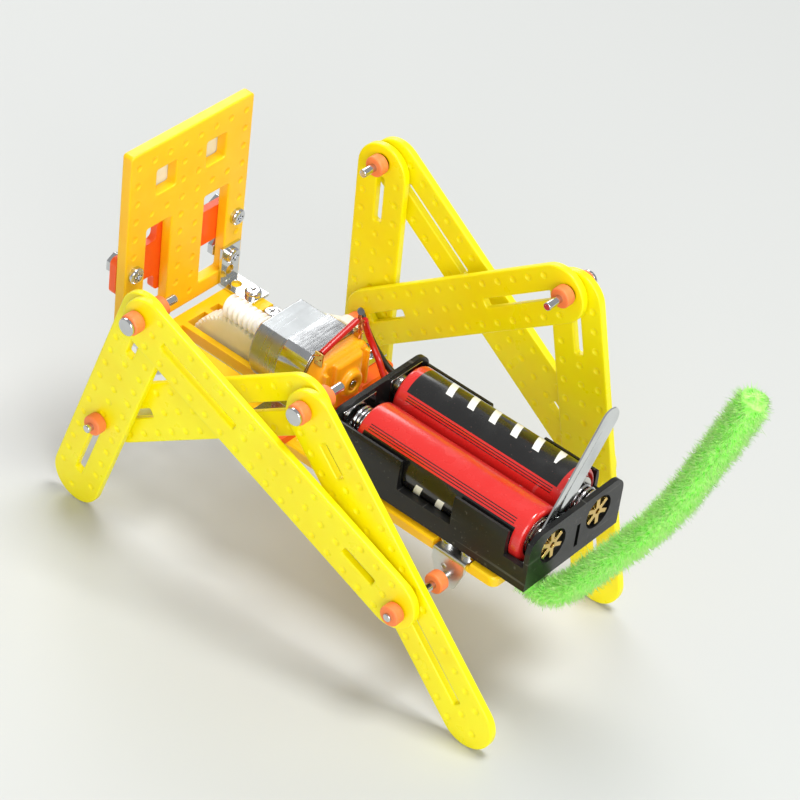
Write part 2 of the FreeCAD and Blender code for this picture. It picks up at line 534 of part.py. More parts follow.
springs.append(spring(CELL_X0 + CELL_L + 0.1, plate_face1 - 0.05, CELL_Y, CELL_Z, 3.6, 0.4, 3))
springs.append(spring(plate_face0 + 0.05, plate_face1 - 0.2 - CELL_L - 0.1, -CELL_Y, CELL_Z, 3.6, 0.4, 3))
add("contact_plates", *plates)
add("contact_rivets", *stars)
add("contact_springs", *springs)

# Cells: steel can with a raised positive end, printed sleeve around it
def cell(x_nub, direction, y):
    """Cell whose positive tip is at x_nub and whose body runs along direction."""
    start = V(x_nub, y, CELL_Z)
    along = X * direction
    tip = Part.makeCylinder(2.7, NUB_L, start, along)
    tip = round_edges(tip, 0.5, lambda e: on_plane(e, "x", (x_nub,)) and len(e.Vertexes) == 1)
    can_body = Part.makeCylinder(CELL_R - 0.25, CELL_L - NUB_L, start + along * NUB_L, along)
    can_body = round_edges(can_body, 0.6, lambda e: len(e.Vertexes) == 1)
    sleeve = Part.makeCylinder(CELL_R, CELL_L - NUB_L - 1.6, start + along * (NUB_L + 0.8), along)
    core = Part.makeCylinder(CELL_R - 0.25, CELL_L, start, along)
    return fuse([tip, can_body]), sleeve.cut(core)


can_left, sleeve_left = cell(CELL_X0, 1, CELL_Y)
can_right, sleeve_right = cell(plate_face1 - 0.2, -1, -CELL_Y)
add("cell_can_left", can_left)
add("cell_sleeve_left", sleeve_left)
add("cell_can_right", can_right)
add("cell_sleeve_right", sleeve_right)

# Switch tab: a stiff metal strip pushed in between a cell and its contact, leaning across
TAB_LEAN, TAB_LEN, TAB_W = 36.5, 39.0, 6.4
half = TAB_W / 2
tab = box(TAB_X0, TAB_X0 + TAB_T, -half, half, 0, TAB_LEN - half)
tab = tab.fuse(rod(V(TAB_X0, 0, TAB_LEN - half), X, half, TAB_T))
tab = tab.removeSplitter()
tab = cut(tab, [box(TAB_X0 + TAB_T - 0.15, TAB_X0 + 1, -0.5, 0.5, 6, TAB_LEN - 6)])
tab.rotate(V(0, 0, 0), X, TAB_LEAN)
tab.translate(V(0, 12.75, 5.4))
add("switch_tab", tab)

# Leads: a red jumper from the near terminal twisted to the red lead, and a black lead, above the far terminal
LEAD_R = 0.8
add("lead_jumper", lead([V(63.2, 6.3, 18.9), V(63.2, 1.0, 20.6), V(63.2, -5.4, 22.2)], 6.0, LEAD_R))
add("lead_red", lead(
    [V(63.2, -8.2, 20.8), V(63.2, -9.4, 17.2), V(61.7, -10.2, 13.4), V(58.8, -9.9, 10.2), V(53.6, -6.0, 9.8),
     V(51.7, -5.6, 9.7)], 1.2, LEAD_R))
add("lead_black", lead(
    [V(51.8, -8.6, 10.6), V(54.0, -9.3, 9.8), V(61.0, -12.4, 9.4), V(66.0, -13.4, 13.0), V(65.6, -8.9, 22.6),
     V(62.8, -5.9, 24.6)], 1.4, LEAD_R))

# Pipe cleaner tail: wire core under the base plate, soft body rising behind it
add("tail_core", rod(V(-1.0, 8.5, -BASE_T - 0.55), X, 0.5, 11.8))
route = [V(-1.2, 8.5, -3.9), V(-7.5, 8.0, -4.1), V(-12.0, 7.4, 0.2), V(-19.6, 6.1, 12.2), V(-29.6, 4.6, 29.9),
         V(-38.3, 3.3, 53.5), V(-44.1, 2.4, 71.6)]
TAIL_R = 4.0
curve = Part.BSplineCurve()
curve.interpolate(route)
start = curve.tangent(curve.FirstParameter)[0]
ring = Part.Wire(Part.makeCircle(TAIL_R, route[0], start))
tail = Part.Wire(curve.toShape()).makePipeShell([ring], True, False)
tail = round_edges(tail, 3.0, lambda e: len(e.Vertexes) == 1 and e.Vertexes[0].Z > 60)
add("tail", tail)

os.makedirs("parts", exist_ok=True)
for name, solids in parts.items():
    shape = Part.makeCompound(solids) if len(solids) > 1 else solids[0]
    shape.translate(SHIFT)
    shape.exportStep("parts/" + name + ".step")
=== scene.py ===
"""Looks of the walking robot kit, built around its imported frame.

Lengths are in millimetres until a mesh is made, and in metres inside a material.
"""
import math
import random

import bmesh
import bpy
from mathutils import Matrix, Vector, geometry
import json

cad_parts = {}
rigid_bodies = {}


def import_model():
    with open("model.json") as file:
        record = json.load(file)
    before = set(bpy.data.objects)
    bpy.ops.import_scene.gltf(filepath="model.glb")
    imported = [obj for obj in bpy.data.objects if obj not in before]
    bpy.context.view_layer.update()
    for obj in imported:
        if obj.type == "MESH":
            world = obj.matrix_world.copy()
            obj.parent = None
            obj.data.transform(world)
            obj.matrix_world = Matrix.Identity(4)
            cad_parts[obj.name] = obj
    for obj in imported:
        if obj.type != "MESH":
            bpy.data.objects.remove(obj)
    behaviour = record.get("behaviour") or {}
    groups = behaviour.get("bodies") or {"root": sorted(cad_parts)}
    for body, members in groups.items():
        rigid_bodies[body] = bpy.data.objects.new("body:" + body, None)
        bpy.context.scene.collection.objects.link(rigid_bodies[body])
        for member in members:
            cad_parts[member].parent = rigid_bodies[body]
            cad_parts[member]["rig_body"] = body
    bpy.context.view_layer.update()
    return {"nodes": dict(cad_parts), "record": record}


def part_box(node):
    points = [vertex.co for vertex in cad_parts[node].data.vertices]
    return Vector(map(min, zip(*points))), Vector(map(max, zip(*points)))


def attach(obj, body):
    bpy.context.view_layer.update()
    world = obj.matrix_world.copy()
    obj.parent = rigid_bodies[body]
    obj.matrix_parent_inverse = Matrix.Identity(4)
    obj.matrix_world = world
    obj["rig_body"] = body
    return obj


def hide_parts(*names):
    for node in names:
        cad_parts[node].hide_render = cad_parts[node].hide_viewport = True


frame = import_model()
nodes = frame["nodes"]
MM = 0.001
SIDES = (("left", 1), ("right", -1))
slot_of = {entry["node"]: entry["material_slot"] for entry in frame["record"]["subparts"]}
body_of = {name: node["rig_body"] for name, node in nodes.items()}


def low(node):
    """Lowest corner of a CAD node's box."""
    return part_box(node)[0] / MM


def high(node):
    """Highest corner of a CAD node's box."""
    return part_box(node)[1] / MM


def centre(node):
    """Middle of a CAD node's box."""
    return (low(node) + high(node)) / 2


# ---------------------------------------------------------------- materials

class Graph:
    """Short names for the shader nodes of one material."""

    def __init__(self, name, colour, roughness, metallic=0.0):
        self.material = bpy.data.materials.new(name)
        self.material.use_nodes = True
        self.tree = self.material.node_tree
        self.shader = self.tree.nodes["Principled BSDF"]
        self.set("Base Color", (*colour, 1.0))
        self.set("Roughness", roughness)
        self.set("Metallic", metallic)
        self.coords = self.tree.nodes.new("ShaderNodeTexCoord").outputs["Object"]

    def set(self, socket, value):
        self.shader.inputs[socket].default_value = value

    def link(self, source, socket):
        self.tree.links.new(source, self.shader.inputs[socket])

    def node(self, kind, inputs, **settings):
        node = self.tree.nodes.new(kind)
        for key, value in settings.items():
            setattr(node, key, value)
        for key, value in inputs.items():
            if isinstance(value, bpy.types.NodeSocket):
                self.tree.links.new(value, node.inputs[key])
            else:
                node.inputs[key].default_value = value
        return node

    def math(self, operation, a, b=0.0, clamp=False):
        node = self.node("ShaderNodeMath", {0: a, 1: b}, operation=operation, use_clamp=clamp)
        return node.outputs[0]

    def noise(self, scale, detail=3.0, roughness=0.5, stretch=(1, 1, 1)):
        """Noise whose features are about 1/scale metres wide, longer along a small stretch value."""
        mapped = self.node("ShaderNodeMapping", {"Vector": self.coords, "Scale": stretch})
        noise = self.node("ShaderNodeTexNoise", {
            "Vector": mapped.outputs[0], "Scale": scale, "Detail": detail, "Roughness": roughness})
        return noise.outputs["Fac"]

    def spread(self, value, start, end, low_out, high_out):
        """Value moved from the range start-end to the range low_out-high_out."""
        node = self.node("ShaderNodeMapRange", {
            "Value": value, "From Min": start, "From Max": end, "To Min": low_out, "To Max": high_out})
        return node.outputs[0]

    def mix(self, factor, a, b):
        """Colour a where the factor is 0 and b where it is 1; each is a linear colour or a socket."""
        first, second = ((*c, 1.0) if isinstance(c, tuple) else c for c in (a, b))
        node = self.node("ShaderNodeMix", {"Factor": factor, 6: first, 7: second}, data_type="RGBA")
        return node.outputs[2]

    def bump(self, height, distance, strength, below=None):
        """Bumps up to distance metres high, on top of the normal below."""
        inputs = {"Height": height, "Distance": distance, "Strength": strength}
        if below is not None:
            inputs["Normal"] = below
        node = self.node("ShaderNodeBump", inputs)
        self.link(node.outputs[0], "Normal")
        return node.outputs[0]

    def scratches(self, scale, amount):
        """Fine crossing scratches as a mask."""
        first = self.noise(scale, 1.0, 0.4, (0.04, 1.0, 1.0))
        second = self.noise(scale, 1.0, 0.4, (1.0, 0.05, 0.7))
        ridge = self.math("MAXIMUM", first, second)
        return self.spread(ridge, 0.72 - amount, 0.74, 0.0, 1.0)


def srgb(red, green, blue):
    """Linear colour of a screen colour given in 0-255."""
    def linear(value):
        value /= 255
        return value / 12.92 if value <= 0.04045 else ((value + 0.055) / 1.055) ** 2.4
    return (linear(red), linear(green), linear(blue))


def moulded_plastic(name, colour, deep, roughness, scatter, reach):
    """Injection-moulded plastic: flow marks, a satin skin and light that bleeds through thin walls."""
    g = Graph(name, colour, roughness)
    flow = g.noise(45, 4.0, 0.55)
    g.link(g.mix(g.spread(flow, 0.35, 0.7, 0.0, 1.0), colour, deep), "Base Color")
    g.link(g.spread(g.noise(180, 3.0), 0.3, 0.7, roughness - 0.07, roughness + 0.10), "Roughness")
    g.set("Subsurface Weight", scatter)
    g.set("Subsurface Radius", (1.0, 0.75, 0.25))
    g.set("Subsurface Scale", reach)
    g.set("IOR", 1.5)
    skin = g.bump(g.noise(260, 2.0), 0.00005, 0.35)
    g.bump(g.noise(2400, 2.0), 0.00001, 0.5, skin)
    return g.material


def metal(name, colour, roughness, grain=(1, 1, 1), streak=0.1, wave=0.00002):
    """Plated or drawn metal with streaks along its grain and faint smudges."""
    g = Graph(name, colour, roughness, 1.0)
    lines = g.noise(1500, 3.0, 0.6, grain)
    smudge = g.noise(140, 3.0)
    mixed = g.math("ADD", g.math("MULTIPLY", lines, 0.6), g.math("MULTIPLY", smudge, 0.4))
    rough = g.spread(mixed, 0.3, 0.7, max(roughness - streak, 0.04), roughness + streak)
    g.link(rough, "Roughness")
    dull = tuple(c * 0.82 for c in colour)
    g.link(g.mix(g.spread(smudge, 0.45, 0.75, 0.0, 1.0), colour, dull), "Base Color")
    first = g.bump(lines, 0.000006, 0.5)
    g.bump(g.noise(120, 2.0), wave, 0.5, first)
    return g.material


def black_plastic():
    """Glossy black moulding with rubbed streaks and specks of dust."""
    black, grey = srgb(22, 22, 22), srgb(120, 120, 115)
    g = Graph("black_plastic", black, 0.3)
    g.set("Specular IOR Level", 0.35)
    rub = g.noise(70, 4.0, 0.6, (0.35, 1.0, 1.0))
    g.link(g.spread(rub, 0.35, 0.7, 0.22, 0.42), "Roughness")
    dust = g.spread(g.noise(1900, 2.0, 0.7), 0.71, 0.75, 0.0, 0.5)
    scratch = g.math("MULTIPLY", g.scratches(1000, 0.02), 0.25)
    g.link(g.mix(g.math("ADD", dust, scratch, True), black, grey), "Base Color")
    skin = g.bump(g.noise(190, 2.0), 0.00007, 0.4)
    g.bump(g.noise(3000, 1.0), 0.000012, 0.5, skin)
    return g.material


def translucent(name, colour, deep, scatter_scale):
    """Milky nylon or polythene that glows where light passes through it."""
    g = Graph(name, colour, 0.38)
    cloud = g.noise(120, 3.0)
    g.link(g.mix(g.spread(cloud, 0.35, 0.7, 0.0, 1.0), colour, deep), "Base Color")
    g.set("Subsurface Weight", 0.9)
    g.set("Subsurface Radius", (1.0, 0.95, 0.8))
    g.set("Subsurface Scale", scatter_scale)
    g.link(g.spread(g.noise(300, 2.0), 0.3, 0.7, 0.28, 0.46), "Roughness")
    g.bump(g.noise(500, 2.0), 0.00003, 0.4)
    return g.material


def cell_print(name, axis_y, axis_z, x_nub, direction, length, black_from, black_to):
    """Printed sleeve: red with a black band, pinstripes and plain white slanted bars round the cell's axis.

    The cell lies along X from its nub at x_nub; the black band runs between the two angles in degrees.
    """
    red, black, white = srgb(206, 36, 32), srgb(16, 16, 16), srgb(235, 235, 230)
    g = Graph(name, red, 0.22)
    split = g.node("ShaderNodeSeparateXYZ", {"Vector": g.coords}).outputs
    y = g.math("SUBTRACT", split[1], axis_y * MM)
    z = g.math("SUBTRACT", split[2], axis_z * MM)
    angle = g.math("MULTIPLY", g.math("ARCTAN2", z, y), 180 / math.pi)
    turn = g.math("MODULO", g.math("ADD", angle, 720.0 - black_from), 360.0)
    along = g.math("MULTIPLY", g.math("SUBTRACT", split[0], x_nub * MM), direction / (length * MM))

    def inside(value, start, end):
        return g.math("MULTIPLY", g.math("GREATER_THAN", value, start), g.math("LESS_THAN", value, end))

    width = (black_to - black_from) % 360
    body = inside(along, 0.085, 0.955)
    lines = g.math("MULTIPLY", inside(turn, 0.0, width), body)
    for k in range(3):
        for edge in (width + 5.0 + 5.0 * k, 355 - 5.0 * k):
            line = g.math("MULTIPLY", inside(turn, edge - 0.9, edge + 0.9), inside(along, 0.10, 0.94))
            lines = g.math("MAXIMUM", lines, line)
    slant = g.math("ADD", g.math("MULTIPLY", along, 8.0), g.math("MULTIPLY", turn, 0.007))
    phase = g.math("FRACT", slant)
    bars = g.math("MULTIPLY", inside(phase, 0.2, 0.5), inside(turn, width * 0.3, width * 0.7))
    bars = g.math("MULTIPLY", bars, inside(along, 0.16, 0.88))
    middle = (width + 360) / 2
    sign = g.math("MULTIPLY", inside(turn, middle - 26, middle + 26), inside(along, 0.22, 0.235))
    dashes = g.math("MULTIPLY", inside(turn, middle - 10, middle - 6), inside(along, 0.26, 0.8))
    comb = g.math("GREATER_THAN", g.math("FRACT", g.math("MULTIPLY", along, 26.0)), 0.35)
    dashes = g.math("MULTIPLY", dashes, comb)
    base = g.mix(lines, red, black)
    base = g.mix(g.math("MAXIMUM", bars, g.math("MAXIMUM", sign, dashes)), base, white)
    wear = g.spread(g.noise(2200, 3.0, 0.7), 0.69, 0.74, 0.0, 0.55)
    g.link(g.mix(wear, base, srgb(190, 150, 140)), "Base Color")
    g.link(g.spread(g.noise(220, 3.0), 0.3, 0.7, 0.16, 0.34), "Roughness")
    g.set("Coat Weight", 0.6)
    g.set("Coat Roughness", 0.12)
    g.bump(g.noise(150, 2.0), 0.00008, 0.5)
    return g.material


def pile_material():
    """Dyed polyester fibres of the pipe cleaner."""
    deep, pale = srgb(128, 255, 70), srgb(196, 255, 140)
    g = Graph("green_pile", srgb(170, 255, 120), 0.6)
    tint = g.noise(700, 3.0, 0.6)
    g.link(g.mix(g.spread(tint, 0.3, 0.7, 0.0, 1.0), deep, pale), "Base Color")
    g.set("Subsurface Weight", 0.3)
    g.set("Subsurface Radius", (0.7, 1.0, 0.3))
    g.set("Subsurface Scale", 0.001)
    return g.material


lemon = moulded_plastic("lemon_plastic", srgb(250, 238, 0), srgb(243, 224, 0), 0.33, 0.35, 0.0022)
amber = moulded_plastic("amber_plastic", srgb(255, 206, 24), srgb(254, 190, 8), 0.35, 0.35, 0.0022)
cap_plastic = moulded_plastic("cap_plastic", srgb(255, 178, 30), srgb(250, 160, 14), 0.32, 0.3, 0.0018)
vermilion = moulded_plastic("vermilion_plastic", srgb(255, 104, 26), srgb(246, 86, 12), 0.36, 0.3, 0.0015)
soft_orange = moulded_plastic("bush_rubber", srgb(250, 138, 76), srgb(242, 116, 54), 0.5, 0.35, 0.0012)
foam = moulded_plastic("foam", srgb(230, 228, 220), srgb(215, 212, 205), 0.8, 0.1, 0.001)
milky = translucent("milky_plastic", srgb(236, 238, 226), srgb(222, 226, 208), 0.003)
nylon = translucent("nylon", srgb(252, 252, 250), srgb(246, 246, 242), 0.0012)
bright = metal("bright_steel", srgb(210, 211, 213), 0.13, (1, 1, 1), 0.06)
plated = metal("plated_strip", srgb(218, 220, 220), 0.16, (0.2, 1, 1), 0.08, 0.00006)
bracket_metal = metal("bracket_metal", srgb(222, 222, 218), 0.34, (0.2, 1, 1), 0.1, 0.00006)
strap_metal = metal("strap_metal", srgb(206, 208, 210), 0.11, (1, 0.1, 0.3), 0.05, 0.00006)
can_metal = metal("can_metal", srgb(176, 180, 182), 0.3, (1, 0.06, 0.06), 0.12)
nickel = metal("nickel", srgb(212, 210, 204), 0.18, (1, 1, 1), 0.08)
brass = metal("brass", srgb(222, 188, 110), 0.22, (1, 1, 1), 0.1)
copper = metal("copper", srgb(232, 150, 100), 0.28, (1, 1, 1), 0.1)
holder_black = black_plastic()
red_wire = moulded_plastic("red_insulation", srgb(196, 26, 18), srgb(176, 16, 12), 0.3, 0.15, 0.0005)
black_wire = moulded_plastic("black_insulation", srgb(24, 24, 24), srgb(16, 16, 16), 0.34, 0.0, 0.0005)
pile = pile_material()

MATERIAL_OF_SLOT = {
    "lemon": lemon, "amber": amber, "vermilion": vermilion, "milky": milky, "nylon": nylon,
    "soft_orange": soft_orange, "bright_steel": bright, "plated_strip": plated, "can_steel": can_metal,
    "brass": brass, "black_plastic": holder_black, "cell_can": nickel, "red_insulation": red_wire,
    "black_insulation": black_wire, "green_pile": pile, "foam": foam,
}
MATERIAL_OF_NODE = {
    "motor_cap": cap_plastic, "motor_strap": strap_metal, "crank_brackets": bracket_metal,
    "rear_brackets": bracket_metal,
}


def material_of(node):
    """Material of a CAD node, by its name or else by its slot."""
    return MATERIAL_OF_NODE.get(node) or MATERIAL_OF_SLOT[slot_of[node]]


# ---------------------------------------------------------------- mesh helpers

def extra(name, body, data, material):
    """Object that rides on a body and stands for no CAD node."""
    obj = bpy.data.objects.new(name, data)
    bpy.context.scene.collection.objects.link(obj)
    data.materials.clear()
    data.materials.append(material)
    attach(obj, body)
    return obj


def piece(name, node, data, material):
    """Object that stands for a CAD node and rides on its body."""
    obj = extra(name, body_of[node], data, material)
    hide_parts(node)
    return obj


def finished_mesh(name, bm, sharp_degrees=38):
    """Mesh in metres from a bmesh in millimetres, smooth up to the given angle."""
    bmesh.ops.recalc_face_normals(bm, faces=bm.faces)
    bmesh.ops.scale(bm, vec=(MM, MM, MM), verts=bm.verts)
    mesh = bpy.data.meshes.new(name)
    bm.to_mesh(mesh)
    bm.free()
    for polygon in mesh.polygons:
        polygon.use_smooth = True
    mesh.set_sharp_from_angle(angle=math.radians(sharp_degrees))
    return mesh


def weighted(obj):
    """Object whose large faces shade flat beside its rounded edges."""
    modifier = obj.modifiers.new("weighted", "WEIGHTED_NORMAL")
    modifier.mode = "FACE_AREA"
    modifier.weight = 50
    modifier.keep_sharp = True
    return obj


def modifiers_applied(obj):
    """Gives the object the mesh that its modifiers make, and returns that mesh."""
    bpy.context.view_layer.update()
    mesh = bpy.data.meshes.new_from_object(obj.evaluated_get(bpy.context.evaluated_depsgraph_get()))
    obj.modifiers.clear()
    obj.data = mesh
    return mesh


def softened(node, width):
    """Copy of a CAD node with its sharp edges rounded by width."""
    sharp_degrees = 35
    bm = bmesh.new()
    bm.from_mesh(nodes[node].data)
    bmesh.ops.scale(bm, vec=(1 / MM, 1 / MM, 1 / MM), verts=bm.verts)
    bmesh.ops.remove_doubles(bm, verts=bm.verts, dist=0.002)
    bmesh.ops.dissolve_limit(
        bm, angle_limit=math.radians(1.0), verts=bm.verts, edges=bm.edges, use_dissolve_boundaries=False)
    mesh = finished_mesh(node + "_soft", bm, sharp_degrees)
    obj = piece(node + "_detail", node, mesh, material_of(node))
    bevel = obj.modifiers.new("edges", "BEVEL")
    bevel.width = width * MM
    bevel.segments = 2
    bevel.limit_method = "ANGLE"
    bevel.angle_limit = math.radians(sharp_degrees)
    bevel.use_clamp_overlap = True
    bevel.miter_outer = "MITER_SHARP"
    return weighted(obj)


def moulded(node, voxel, passes):
    """Copy of a CAD node with every edge and corner flowing, as on a small moulding."""
    obj = piece(node + "_moulded", node, nodes[node].data.copy(), material_of(node))
    remesh = obj.modifiers.new("remesh", "REMESH")
    remesh.mode = "VOXEL"
    remesh.voxel_size = voxel * MM
    smooth = obj.modifiers.new("smooth", "SMOOTH")
    smooth.factor = 0.5
    smooth.iterations = passes
    for polygon in modifiers_applied(obj).polygons:
        polygon.use_smooth = True
    return obj


def tube_curve(name, points, radius, material, body, replaces=()):
    """Round wire along a smooth NURBS line."""
    curve = bpy.data.curves.new(name, "CURVE")
    curve.dimensions = "3D"
    curve.bevel_depth = radius * MM
    curve.bevel_resolution = 5
    curve.resolution_u = 10
    curve.use_fill_caps = True
    spline = curve.splines.new("NURBS")
    spline.points.add(len(points) - 1)
    for target, point in zip(spline.points, points):
        target.co = (*(Vector(point) * MM), 1.0)
    spline.order_u = 3
    spline.use_endpoint_u = True
    obj = extra(name, body, curve, material)
    if replaces:
        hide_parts(*replaces)
    return obj


def lathe(name, profile, origin, direction, segments, sharp):
    """Solid of revolution about X; the profile's points are (distance along, radius)."""
    bm = bmesh.new()
    rings = []
    for along, radius in profile:
        x = origin.x + direction * along
        if radius < 1e-6:
            rings.append([bm.verts.new((x, origin.y, origin.z))])
            continue
        ring = []
        for k in range(segments):
            a = 2 * math.pi * k / segments
            y = origin.y + radius * math.cos(a)
            z = origin.z + radius * math.sin(a)
            ring.append(bm.verts.new((x, y, z)))
        rings.append(ring)
    for first, second in zip(rings, rings[1:]):
        for k in range(segments):
            n = (k + 1) % segments
            corners = [first[k % len(first)], first[n % len(first)],
                       second[n % len(second)], second[k % len(second)]]
            unique = list(dict.fromkeys(corners))
            if len(unique) > 2:
                bm.faces.new(unique)
    return finished_mesh(name, bm, sharp)


# ---------------------------------------------------------------- dimpled strips and plates

DIMPLE_R, DIMPLE_PITCH, DIMPLE_SIDES = 0.95, 5.0, 14
# Rings of a dimple inside its rim, as (part of its radius, depth)
DIMPLE_PROFILE = ((0.80, 0.16), (0.52, 0.30), (0.22, 0.37))
EDGE_R, EDGE_STEPS = 0.4, 3
ROUND_STEPS = 9
OPENING_CORNER = 0.5
# Part of a plate's edge rounding that a drilled hole gets
HOLE_ROUNDING = 0.4


def arc(cu, cv, r, start, end, steps):
    """Points of an arc from start to end in degrees, both ends included."""
    angles = [math.radians(start + (end - start) * k / steps) for k in range(steps + 1)]
    return [(cu + r * math.cos(a), cv + r * math.sin(a)) for a in angles]


def stadium_loop(u0, u1, half, grow):
    """Bar from u0 to u1 with round ends, grown by grow all round."""
    r = half + grow
    right = arc(u1 - half, 0.0, r, -90, 90, 2 * ROUND_STEPS)
    left = arc(u0 + half, 0.0, r, 90, 270, 2 * ROUND_STEPS)
    return right + left


def rounded_loop(u0, u1, v0, v1, corner, grow):
    """Rectangle with rounded corners, grown by grow all round."""
    r = corner + grow
    loop = []
    for cu, cv, start in ((u1 - corner, v1 - corner, 0), (u0 + corner, v1 - corner, 90),
                          (u0 + corner, v0 + corner, 180), (u1 - corner, v0 + corner, 270)):
        loop += arc(cu, cv, r, start, start + 90, 4)
    return loop


def circle_loop(cu, cv, r, grow):
    """Round hole; one step short of a full turn, because loops close themselves."""
    return arc(cu, cv, r + grow, 0, 345, 23)


def clear_of(point, loops, margin):
    """True where point is at least margin from each line of the loops."""
    p = Vector(point)
    for loop in loops:
        for a, b in zip(loop, loop[1:] + loop[:1]):
            a, b = Vector(a), Vector(b)
            t = max(0.0, min(1.0, (p - a).dot(b - a) / max((b - a).length_squared, 1e-12)))
            if (p - a - (b - a) * t).length < margin:
                return False
    return True


def in_loop(point, loop):
    """True where point is inside the loop."""
    u, v = point
    odd = False
    for (u0, v0), (u1, v1) in zip(loop, loop[1:] + loop[:1]):
        if (v0 > v) != (v1 > v) and u < (u1 - u0) * (v - v0) / (v1 - v0) + u0:
            odd = not odd
    return odd


def join_rings(bm, first, second):
    """Quads between two closed rings with the same number of vertices."""
    for k in range(len(first)):
        n = (k + 1) % len(first)
        bm.faces.new((first[k], first[n], second[n], second[k]))


def plate_edge(bm, shape, way, half):
    """Rounded edge of a plate round one loop, and its rims on the upper and on the lower face.

    way is -1 where the rounding goes inwards, for the outline, and 1 for an opening.
    """
    steps = [math.radians(90 * k / EDGE_STEPS) for k in range(EDGE_STEPS + 1)]
    edge = [(EDGE_R * (1 - math.sin(a)), EDGE_R * (1 - math.cos(a))) for a in steps]
    profile = [(1, inset, drop) for inset, drop in edge]
    profile += [(-1, inset, drop) for inset, drop in edge[::-1]]
    rings = []
    for face, inset, drop in profile:
        rings.append([bm.verts.new((u, v, face * (half - drop))) for u, v in shape(way * inset)])
    for first, second in zip(rings, rings[1:]):
        join_rings(bm, first, second)
    return rings[0], rings[-1]


def dimple(bm, cu, cv, face, half):
    """One shallow dimple in the upper (1) or lower (-1) face of a plate, and its rim."""
    rings = []
    for scale, depth in ((1.0, 0.0),) + DIMPLE_PROFILE:
        ring = []
        for k in range(DIMPLE_SIDES):
            a = 2 * math.pi * k / DIMPLE_SIDES
            u = cu + DIMPLE_R * scale * math.cos(a)
            v = cv + DIMPLE_R * scale * math.sin(a)
            ring.append(bm.verts.new((u, v, face * (half - depth))))
        if rings:
            join_rings(bm, rings[-1], ring)
        rings.append(ring)
    bm.faces.new(rings[-1])
    return rings[0]


def fill_face(bm, outer, holes):
    """Triangles between the outer rim and the rims of the holes."""
    verts, edges, owner = [], [], []
    for number, rim in enumerate([outer] + holes):
        start = len(verts)
        verts += rim
        owner += [number] * len(rim)
        edges += [(start + k, start + (k + 1) % len(rim)) for k in range(len(rim))]
    flat = [Vector((v.co.x, v.co.y)) for v in verts]
    result = geometry.delaunay_2d_cdt(flat, edges, [], 0, 1e-7)
    origin = [ids[0] for ids in result[3]]
    for triangle in result[2]:
        ids = [origin[i] for i in triangle]
        owners = {owner[i] for i in ids}
        if len(owners) > 1 or owners == {0}:
            bm.faces.new([verts[i] for i in ids])


def plate_bmesh(outline, openings, grid, thickness):
    """Plate with rounded edges and rows of shallow dimples.

    outline and openings are functions of the growth of their loop; grid is a list of dimple centres.
    """
    border, *windows = [shape(0.0) for shape in [outline] + openings]
    margin = DIMPLE_R + EDGE_R + 0.15
    centres = [
        p for p in grid
        if clear_of(p, [border] + windows, margin) and in_loop(p, border)
        and not any(in_loop(p, window) for window in windows)]
    bm = bmesh.new()
    half = thickness / 2
    rims = [plate_edge(bm, outline, -1, half)] + [plate_edge(bm, opening, 1, half) for opening in openings]
    for face, which in ((1, 0), (-1, 1)):
        bowls = [dimple(bm, cu, cv, face, half) for cu, cv in centres]
        outer, *holes = [rim[which] for rim in rims]
        fill_face(bm, outer, holes + bowls)
    return bm


def placed(bm, origin, along, across):
    """Moves a plate from its own u, v, w axes into the frame."""
    along, across = along.normalized(), across.normalized()
    out = along.cross(across)
    matrix = Matrix((along, across, out)).transposed().to_4x4()
    matrix.translation = origin
    bmesh.ops.transform(bm, matrix=matrix, verts=bm.verts)
    return bm


def rows(u0, u1, v_rows):
    """Dimple centres in rows, spread evenly from u0 to u1."""
    count = max(2, round((u1 - u0) / DIMPLE_PITCH) + 1)
    step = (u1 - u0) / (count - 1)
    return [(u0 + step * k, v) for k in range(count) for v in v_rows]


STRIP_W, STRIP_T, SLOT_W = 14.5, 2.0, 2.2
# A strip's material past its end pivots
STRIP_END, LINK_END = 4.5, 4.0
FOOT_R, FRONT_FOOT, REAR_FOOT = STRIP_W / 2, 31.5, 36.5
PIVOT_HOLE, NAIL_HOLE, LOOSE_HOLE = 1.08, 1.0, 2.15
# Distance of each strip's mid plane from the robot's middle, at its first and its second pivot
PLANES = {
    "left": {"drive": (29.9, 28.4), "front": (34.4, 32.7), "rear": (31.1, 31.1), "long": (37.1, 33.8)},
    "right": {"drive": (30.9, 30.9), "front": (35.0, 33.7), "rear": (33.3, 33.3), "long": (37.5, 35.9)},
}
pins = {side: {
    "crank": centre("crank_pin_" + side), "front": centre("front_nail_" + side),
    "rear": centre("rear_nail_" + side), "axle": centre("rear_axle")} for side, _ in SIDES}
LEG_A, LEG_D, LINK_B, LINK_C = (
    (pins["left"][a] - pins["left"][b]).xz.length
    for a, b in (("front", "crank"), ("rear", "axle"), ("crank", "rear"), ("front", "axle")))


def strip_line(side, kind, start, end):
    """Middle of a strip at its two pivots."""
    s = 1 if side == "left" else -1
    a, b = pins[side][start], pins[side][end]
    first, second = PLANES[side][kind]
    return Vector((a.x, s * first, a.z)), Vector((b.x, s * second, b.z))


